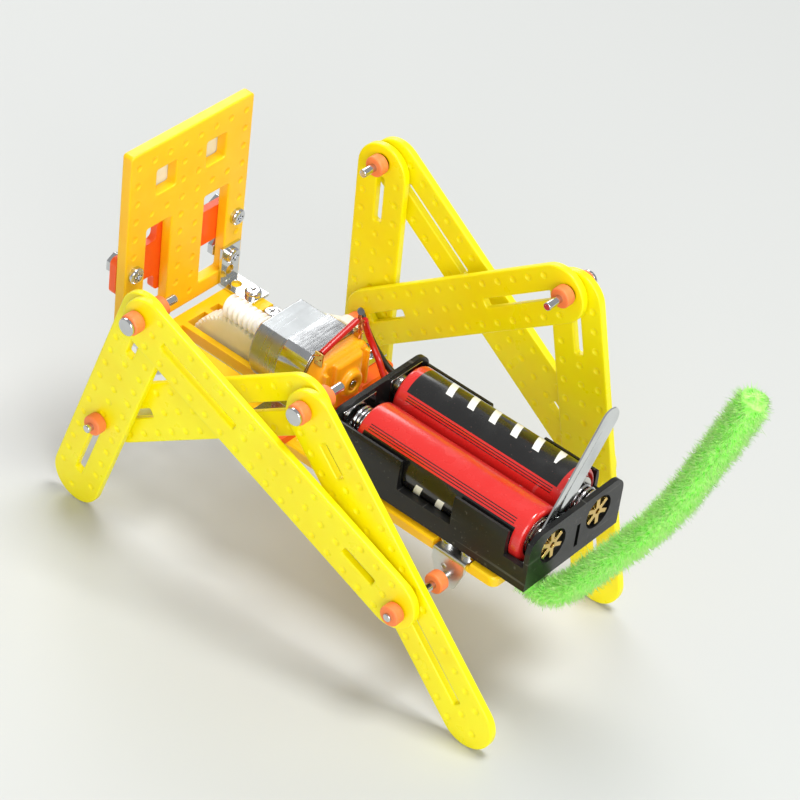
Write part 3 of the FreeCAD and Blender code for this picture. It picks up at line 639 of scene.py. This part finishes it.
def strip(name, side, kind, start, end, before, after, slots, holes):
    """One slotted strip; slots and holes are measured from its start pivot."""
    a, b = strip_line(side, kind, start, end)
    along = b - a
    span = along.xz.length
    half = SLOT_W / 2
    openings = [
        lambda grow, slot=slot: rounded_loop(slot[0], slot[1], -half, half, OPENING_CORNER, grow)
        for slot in slots]
    openings += [
        lambda grow, hole=hole: circle_loop(hole[0], 0, hole[1], grow * HOLE_ROUNDING)
        for hole in holes]
    grid = rows(-before + 4.0, span + after - 4.0, (-4.9, 0.0, 4.9))
    bm = plate_bmesh(
        lambda grow: stadium_loop(-before, span + after, STRIP_W / 2, grow), openings, grid, STRIP_T)
    placed(bm, a, along, Vector((0, 1, 0)).cross(along))
    return weighted(piece(name + "_dimpled", name, finished_mesh(name, bm), lemon))


for side, _ in SIDES:
    rear_slot_start = {"left": 8.4, "right": 3.2}[side]
    strip("drive_link_" + side, side, "drive", "crank", "rear", LINK_END, LINK_END,
          [(4.0, 15.5), (43.3, 65.0)],
          [(0, PIVOT_HOLE), (LINK_B, LOOSE_HOLE)])
    strip("front_leg_" + side, side, "front", "front", "crank", STRIP_END, FRONT_FOOT,
          [(4.0, 16.4), (LEG_A + 3.2, LEG_A + 21.5)],
          [(0, LOOSE_HOLE), (LEG_A, PIVOT_HOLE)])
    strip("rear_leg_" + side, side, "rear", "rear", "axle", STRIP_END, REAR_FOOT,
          [(rear_slot_start, 17.0), (LEG_D + 3.2, LEG_D + 25.0)],
          [(0, NAIL_HOLE), (LEG_D, PIVOT_HOLE)])
    strip("long_link_" + side, side, "long", "front", "axle", STRIP_END, STRIP_END,
          [(7.7, 31.9), (LINK_C - 17.6, LINK_C - 7.9)],
          [(0, NAIL_HOLE), (LINK_C, PIVOT_HOLE)])


# Openings of the head plate: sides from its middle, then bottom and top over the base plate
EYE, HEAD_WINDOW = (5.0, 11.4, 38.3, 45.3), (5.5, 13.6, 4.4, 29.6)
HEAD_SCREWS, SCREW_HOLE = ((17.0, 18.6), (15.6, 8.2)), 1.3


def head_plate():
    """Square plate with two eye holes, two tall windows and screw holes."""
    lo, hi = low("head_plate"), high("head_plate")
    base_top = high("base_plate").z

    def window(s, size):
        u0, u1 = sorted((s * size[0], s * size[1]))
        v0, v1 = base_top + size[2], base_top + size[3]
        return lambda grow: rounded_loop(u0, u1, v0, v1, OPENING_CORNER, grow)

    def screw_hole(s, place):
        return lambda grow: circle_loop(s * place[0], base_top + place[1], SCREW_HOLE, grow * HOLE_ROUNDING)

    openings = []
    for s in (1, -1):
        openings += [window(s, size) for size in (EYE, HEAD_WINDOW)]
        openings += [screw_hole(s, place) for place in HEAD_SCREWS]
    grid = rows(-17.5, 17.5, [lo.z + 3.75 + DIMPLE_PITCH * k for k in range(10)])
    bm = plate_bmesh(
        lambda grow: rounded_loop(lo.y, hi.y, lo.z, hi.z, 0.9, grow), openings, grid, hi.x - lo.x)
    placed(bm, Vector(((lo.x + hi.x) / 2, 0, 0)), Vector((0, 1, 0)), Vector((0, 0, 1)))
    weighted(piece("head_plate_dimpled", "head_plate", finished_mesh("head_plate", bm), amber))


head_plate()


def room_for_dimple(x, y):
    """False where the base plate has slots, a bracket or a corner bracket's screw."""
    wheel_x = centre("worm_wheel").x
    in_slots = abs(x - wheel_x) < 15.4 and abs(y) < 9.2
    near_corner = abs(x - wheel_x - 10.3) < 3.6 and abs(y) > 12.0
    bracket_reach = min(abs(x - centre(node).x) for node in ("crank_brackets", "rear_brackets"))
    near_bracket = bracket_reach < 6.6 and abs(y) > 9.5
    return not (in_slots or near_corner or near_bracket)


def base_plate():
    """Base plate: the CAD outline with softened edges and a grid of dimples sunk into both faces."""
    lo, hi = low("base_plate"), high("base_plate")
    obj = softened("base_plate", 0.3)
    columns = [lo.x + 5.0 + DIMPLE_PITCH * k for k in range(21)]
    grid = [(x, lo.y + 2.5 + DIMPLE_PITCH * j) for x in columns for j in range(7)]
    flattened = Matrix.Diagonal((1, 1, 0.4, 1))
    bm = bmesh.new()
    for x, y in grid:
        if not room_for_dimple(x, y):
            continue
        for z in (lo.z, hi.z):
            ball = Matrix.Translation((x, y, z)) @ flattened
            bmesh.ops.create_uvsphere(bm, u_segments=14, v_segments=8, radius=DIMPLE_R, matrix=ball)
    cutter = bpy.data.objects.new("dimple_cutter", finished_mesh("dimple_cutter", bm))
    bpy.context.scene.collection.objects.link(cutter)
    boolean = obj.modifiers.new("dimples", "BOOLEAN")
    boolean.object = cutter
    boolean.solver = "EXACT"
    obj.modifiers.move(len(obj.modifiers) - 1, 1)
    modifiers_applied(obj).set_sharp_from_angle(angle=math.radians(38))
    bpy.data.objects.remove(cutter)
    return weighted(obj)


base_plate()

# ---------------------------------------------------------------- parts that keep their CAD shape

# Radius of the rounding of each node's edges
SOFT_EDGES = {
    "head_cross": 0.5, "motor_cross": 0.5, "motor_can": 0.2, "motor_strap": 0.12,
    "corner_brackets": 0.12, "crank_brackets": 0.12, "rear_brackets": 0.12, "battery_holder": 0.25,
    "crank_arm_left": 0.35, "crank_arm_right": 0.35, "contact_rivets": 0.12, "contact_plates": 0.08,
    "motor_terminals": 0.08, "eye_panel": 0.15, "nuts": 0.15, "crank_axle": 0.2, "rear_axle": 0.2,
    "crank_pin_left": 0.2, "crank_pin_right": 0.2, "motor_shaft": 0.15, "worm": 0.06, "worm_wheel": 0.08,
    "front_nail_left": 0.2, "front_nail_right": 0.2, "rear_nail_left": 0.2, "rear_nail_right": 0.2,
}
for node, width in SOFT_EDGES.items():
    softened(node, width)
moulded("motor_cap", 0.2, 9)

for name, node in nodes.items():
    if not node.hide_render and slot_of[name] in MATERIAL_OF_SLOT:
        node.data.materials.clear()
        node.data.materials.append(material_of(name))

# ---------------------------------------------------------------- cells

def cells():
    """Two cells: a steel can with its nub, and a printed sleeve, both turned round the cell's axis."""
    for side, _ in SIDES:
        can_node, sleeve_node = "cell_can_" + side, "cell_sleeve_" + side
        lo, hi, middle = low(can_node), high(can_node), centre(can_node)
        radius = (high(sleeve_node).y - low(sleeve_node).y) / 2
        length = hi.x - lo.x
        x_nub, direction = (lo.x, 1) if side == "left" else (hi.x, -1)
        origin = Vector((x_nub, middle.y, middle.z))
        shoulder = arc(2.6, radius - 1.1, 1.1, 180, 90, 6)
        heel = arc(length - 1.3, radius - 0.8, 0.8, 90, 0, 5)
        profile = [(1.75, radius - 1.9), (1.52, radius - 1.6)] + shoulder + heel
        profile += [(length - 0.75, radius - 1.1), (length - 1.0, radius - 1.3), (2.6, radius - 1.9)]
        profile.append(profile[0])
        black = (-85, 37) if side == "left" else (42, 165)
        sleeve = lathe("cell_sleeve", profile, origin, direction, 96, 50)
        label = cell_print("cell_print_" + side, middle.y, middle.z, x_nub, direction, length, *black)
        piece(sleeve_node + "_print", sleeve_node, sleeve, label)
        nub = [(0.0, 0.0), (0.0, 1.9)] + arc(0.45, 2.25, 0.45, 180, 90, 4)
        collar = [(1.2, 2.7), (1.32, 3.0), (1.38, 4.3), (1.55, 4.45), (1.95, 4.5), (1.95, 5.6), (2.3, 5.7)]
        base = [(length - 0.9, 5.7), (length - 0.7, 5.4), (length - 0.1, 5.2), (length, 4.7),
                (length, 3.2), (length - 0.25, 2.9), (length - 0.25, 0.0)]
        can = lathe("cell_can", nub + collar + base, origin, direction, 72, 30)
        piece(can_node + "_turned", can_node, can, nickel)


cells()

# ---------------------------------------------------------------- switch tab

def switch_tab():
    """Springy strip with a round tip and a pressed rib, leaning in its own plane."""
    lo, hi = low("switch_tab"), high("switch_tab")
    lean = math.radians(36.5)
    half, thick, length = 3.2, hi.x - lo.x, 39.0
    rib_half, rib_height, rib_fade = 0.75, 0.35, 1.5
    rib_start, rib_stop = 5.0, length - 7.0
    up = Vector((0, -math.sin(lean), math.cos(lean)))
    across = Vector((0, math.cos(lean), math.sin(lean)))
    tip = Vector((lo.x, lo.y + half, hi.z - half)) + up * half
    columns, steps = 17, 60
    bm = bmesh.new()
    sheets = []
    for level in (0.0, thick):
        grid = []
        for i in range(steps + 1):
            t = length * i / steps
            short = max(0.0, half - t)
            width = max(math.sqrt(half * half - short * short), 0.35)
            line = []
            for j in range(columns):
                v = (j / (columns - 1) * 2 - 1) * width
                in_rib = max(0.0, min(1.0, min(t - rib_start, rib_stop - t) / rib_fade))
                rise = in_rib * math.exp(-(v / rib_half) ** 2) * rib_height
                line.append(bm.verts.new(tip - up * t + across * v + Vector((level + rise, 0, 0))))
            grid.append(line)
        sheets.append(grid)
    front, back = sheets
    for grid in sheets:
        for i in range(steps):
            for j in range(columns - 1):
                bm.faces.new((grid[i][j], grid[i][j + 1], grid[i + 1][j + 1], grid[i + 1][j]))
    border = [(0, j) for j in range(columns)] + [(i, columns - 1) for i in range(1, steps + 1)]
    border += [(steps, j) for j in range(columns - 2, -1, -1)] + [(i, 0) for i in range(steps - 1, 0, -1)]
    for (i, j), (k, m) in zip(border, border[1:] + border[:1]):
        bm.faces.new((front[i][j], front[k][m], back[k][m], back[i][j]))
    piece("switch_tab_pressed", "switch_tab", finished_mesh("switch_tab", bm), plated)


switch_tab()

# ---------------------------------------------------------------- leads with bare strands at their ends

SHIFT = Vector((low("base_plate").x, 0, high("base_plate").z))
LEAD_R, STRAND_R = 0.8, 0.14


def at(x, y, z):
    """Point measured from the tail end and the top of the base plate."""
    return SHIFT + Vector((x, y, z))


def strands(name, start, end, body, count, spread_mm, seed):
    """Bare copper strands twisted round the line from start to end, with loose ends past it."""
    rng = random.Random(seed)
    run = end - start
    side = run.cross(Vector((1, 0, 0))).normalized()
    other = run.cross(side).normalized()
    for k in range(count):
        points = []
        for step in range(7):
            t = step / 6
            turn = 2 * math.pi * (k / count + 0.9 * t)
            swell = 0.45 + 0.55 * math.sin(math.pi * t)
            off = (side * math.cos(turn) + other * math.sin(turn)) * spread_mm * swell
            jitter = Vector([rng.uniform(-0.12, 0.12) for _ in range(3)])
            points.append(start + run * t + off + jitter)
        points.append(points[-1] + Vector([rng.uniform(-1.0, 1.0) for _ in range(3)]))
        tube_curve(f"{name}_{k}", points, STRAND_R, copper, body)


def leads():
    """Insulated leads, the bare strands that join them to the terminals, and one stray strand."""
    jumper = [at(63.2, 6.3, 18.9), at(63.2, 1.0, 20.6), at(63.2, -5.4, 22.2)]
    red = [at(63.2, -8.2, 20.8), at(63.2, -9.4, 17.2), at(61.7, -10.2, 13.4), at(58.8, -9.9, 10.2),
           at(53.6, -6.0, 9.8), at(51.7, -5.6, 9.7)]
    black = [at(51.8, -8.6, 10.6), at(54.0, -9.3, 9.8), at(61.0, -12.4, 9.4), at(66.0, -13.4, 13.0),
             at(65.6, -8.9, 22.6), at(62.8, -5.9, 24.6)]
    body = body_of["lead_red"]
    tube_curve("lead_red_wire", red, LEAD_R, red_wire, body, ("lead_red",))
    tube_curve("lead_black_wire", black, LEAD_R, black_wire, body, ("lead_black",))
    tube_curve("lead_jumper_wire", jumper, LEAD_R, red_wire, body, ("lead_jumper",))
    near_end = jumper[0] + Vector((0, -0.4, 0.1))
    join_from = jumper[-1] + Vector((0, 0.4, -0.1))
    join_to = red[0] + Vector((0, 0.1, -0.4))
    far_end = black[-1] + Vector((0.4, 0.0, -0.4))
    strands("strand_near", near_end, at(63.2, 6.9, 17.6), body, 5, 0.35, 3)
    strands("strand_join", join_from, join_to, body, 6, 0.5, 5)
    strands("strand_far", far_end, at(62.6, -6.3, 18.2), body, 5, 0.45, 12)
    stray = [at(63.2, 6.6, 18.4), at(62.6, 8.2, 19.6), at(62.2, 9.4, 20.9), at(62.0, 10.2, 21.2)]
    tube_curve("strand_stray", stray, STRAND_R, copper, body)


leads()

# ---------------------------------------------------------------- tail

FIBRES, FIBRE_R, TWIST_PITCH = 17000, 0.13, 2.4
FELT_RINGS, FELT_SIDES = 160, 16


class Path:
    """Line through points, with its axes at any distance along it."""

    def __init__(self, points):
        self.points = points
        self.lengths = [0.0]
        for a, b in zip(points, points[1:]):
            self.lengths.append(self.lengths[-1] + (b - a).length)
        self.total = self.lengths[-1]

    def frame_at(self, distance):
        """Point, direction and two crosswise directions at a distance from the start."""
        k = 1
        while k < len(self.points) - 1 and self.lengths[k] < distance:
            k += 1
        step = self.lengths[k] - self.lengths[k - 1]
        t = min(max((distance - self.lengths[k - 1]) / step, 0.0), 1.0)
        tangent = (self.points[k] - self.points[k - 1]).normalized()
        side = tangent.cross(Vector((0, 1, 0))).normalized()
        return self.points[k - 1].lerp(self.points[k], t), tangent, side, tangent.cross(side)


def tail_path():
    """Smooth path through the tail's route."""
    route = [at(-1.2, 8.5, -3.9), at(-7.5, 8.0, -4.1), at(-12.0, 7.4, 0.2), at(-19.6, 6.1, 12.2),
             at(-29.6, 4.6, 29.9), at(-38.3, 3.3, 53.5), at(-44.1, 2.4, 71.6)]
    line = bpy.data.curves.new("tail_line", "CURVE")
    line.dimensions = "3D"
    line.resolution_u = 24
    spline = line.splines.new("BEZIER")
    spline.bezier_points.add(len(route) - 1)
    for target, point in zip(spline.bezier_points, route):
        target.co = point
        target.handle_left_type = target.handle_right_type = "AUTO"
    carrier = bpy.data.objects.new("tail_line", line)
    points = [v.co.copy() for v in bpy.data.meshes.new_from_object(carrier).vertices]
    bpy.data.objects.remove(carrier)
    return Path(points)


def fibre(bm, path, distance, rng):
    """One bent, tapering fibre that stands out from the path; fibres are shorter at the tail's two ends."""
    point, tangent, side, other = path.frame_at(distance)
    angle = rng.random() * 2 * math.pi
    out = side * math.cos(angle) + other * math.sin(angle)
    ripple = 0.22 * math.sin(2 * math.pi * distance / TWIST_PITCH + 2 * angle)
    reach = 3.7 + 0.6 * distance / path.total + rng.gauss(0, 0.42) + ripple
    left = path.total - distance
    if left < 2.2:
        reach *= min(1.0, 0.45 + left / 4.0)
    lean = tangent * rng.gauss(0.12, 0.28) + out.cross(tangent) * rng.gauss(0.25, 0.25)
    root = point + out * 0.4
    bend = point + out * reach * 0.55 + lean * reach * 0.22
    tip = point + out * reach + lean * reach * 0.55
    if distance < 6.0:
        tip = point + (tip - point) * (0.82 + 0.03 * distance)
    flat = out.cross(tangent + lean).normalized()
    deep = out.cross(flat)
    rings = []
    for middle, taper in ((root, 1.0), (bend, 0.9)):
        rings.append([bm.verts.new(middle + (flat * math.cos(a) + deep * math.sin(a)) * FIBRE_R * taper)
                      for a in (0.0, 2.094, 4.189)])
    first, second = rings
    end = bm.verts.new(tip)
    for i in range(3):
        j = (i + 1) % 3
        bm.faces.new((first[i], first[j], second[j], second[i]))
        bm.faces.new((second[i], second[j], end))
    bm.faces.new(first[::-1])


def felt(bm, path, rng):
    """Uneven core that closes the gaps between the fibres."""
    rings = []
    for i in range(FELT_RINGS + 1):
        distance = path.total * i / FELT_RINGS
        point, _, side, other = path.frame_at(distance)
        radius = 2.3 + 0.4 * distance / path.total
        if i in (0, FELT_RINGS):
            radius = 0.6
        ring = []
        for j in range(FELT_SIDES):
            a = 2 * math.pi * j / FELT_SIDES
            rough = radius * (1 + 0.12 * math.sin(3 * a + distance * 2.6) + 0.06 * rng.random())
            ring.append(bm.verts.new(point + (side * math.cos(a) + other * math.sin(a)) * rough))
        rings.append(ring)
    for first, second in zip(rings, rings[1:]):
        join_rings(bm, first, second)
    bm.faces.new(rings[0])
    bm.faces.new(rings[-1])


def tail():
    """Pipe cleaner: a felt core hidden in thousands of short fibres."""
    rng = random.Random(41)
    path = tail_path()
    bm = bmesh.new()
    for k in range(FIBRES):
        fibre(bm, path, path.total * (k + rng.random()) / FIBRES, rng)
    piece("tail_pile", "tail", finished_mesh("tail_fibres", bm, 180), pile)
    bm = bmesh.new()
    felt(bm, path, rng)
    extra("tail_felt", body_of["tail"], finished_mesh("tail_felt", bm, 180), pile)


tail()

# ---------------------------------------------------------------- stage, camera and light

def foot(side, kind, start, end, after):
    """Centre of the round end of a leg."""
    a, b = strip_line(side, kind, start, end)
    return b + (b - a).normalized() * (after - FOOT_R)


def floor_plane():
    """Plane under the three feet that carry the robot: both left feet and the right rear one."""
    feet = [foot("left", "front", "front", "crank", FRONT_FOOT),
            foot("left", "rear", "rear", "axle", REAR_FOOT),
            foot("right", "rear", "rear", "axle", REAR_FOOT)]
    up = Vector((0, 0, 1))
    for _ in range(12):
        down = Vector((up.x, 0, up.z)).normalized() * FOOT_R
        edge = Vector((0, math.copysign(STRIP_T / 2, up.y), 0))
        touch = [f - down - edge for f in feet]
        up = (touch[1] - touch[0]).cross(touch[2] - touch[0]).normalized()
        up = up if up.z > 0 else -up
    return touch[0], up


def stage():
    """Plain pale floor under the feet."""
    point, up = floor_plane()
    middle = up * point.dot(up)
    side = up.cross(Vector((0, 1, 0))).normalized()
    other = up.cross(side)
    half_size = 3000
    bm = bmesh.new()
    corners = [middle + side * a * half_size + other * b * half_size
               for a, b in ((-1, -1), (1, -1), (1, 1), (-1, 1))]
    bm.faces.new([bm.verts.new(c) for c in corners])
    g = Graph("pale_floor", srgb(196, 198, 196), 0.6)
    mesh = finished_mesh("floor", bm)
    mesh.materials.append(g.material)
    floor = bpy.data.objects.new("floor", mesh)
    bpy.context.scene.collection.objects.link(floor)


stage()

YAW, PITCH, ROLL = (math.radians(a) for a in (-54.08, -39.79, 7.77))
CAMERA_AT = Vector((-307.35, 436.0, 503.8))
LENS, SENSOR = 140.7, 36.0


def camera():
    """Camera that looks down on the robot from behind its left side."""
    forward = Vector((math.cos(PITCH) * math.cos(YAW), math.cos(PITCH) * math.sin(YAW), math.sin(PITCH)))
    level_right = forward.cross(Vector((0, 0, 1))).normalized()
    level_up = level_right.cross(forward)
    right = level_right * math.cos(ROLL) + level_up * math.sin(ROLL)
    up = level_up * math.cos(ROLL) - level_right * math.sin(ROLL)
    data = bpy.data.cameras.new("camera")
    data.lens = LENS
    data.sensor_width = SENSOR
    data.clip_start = 0.01
    data.clip_end = 20
    obj = bpy.data.objects.new("camera", data)
    bpy.context.scene.collection.objects.link(obj)
    matrix = Matrix((right, up, -forward)).transposed().to_4x4()
    matrix.translation = CAMERA_AT * MM
    obj.matrix_world = matrix
    bpy.context.scene.camera = obj


camera()


def area_light(name, place, target, size, watts):
    """Round area light in metres that faces its target."""
    data = bpy.data.lights.new(name, "AREA")
    data.shape = "DISK"
    data.size = size
    data.energy = watts
    obj = bpy.data.objects.new(name, data)
    bpy.context.scene.collection.objects.link(obj)
    obj.location = place
    obj.rotation_euler = (Vector(target) - Vector(place)).to_track_quat("-Z", "Y").to_euler()


def lights():
    """Three soft lights and an even white surrounding."""
    target = (0, 0, 0.03)
    area_light("key", (-0.25, -0.15, 1.3), target, 0.5, 13)
    area_light("fill", (-0.9, 0.9, 0.7), target, 0.9, 13)
    area_light("rim", (0.9, -0.7, 0.6), target, 0.7, 5)
    world = bpy.data.worlds.new("studio")
    bpy.context.scene.world = world
    world.use_nodes = True
    background = world.node_tree.nodes["Background"]
    background.inputs["Color"].default_value = (1.0, 1.0, 1.0, 1.0)
    background.inputs["Strength"].default_value = 0.45


lights()
bpy.context.scene.view_settings.view_transform = "Standard"
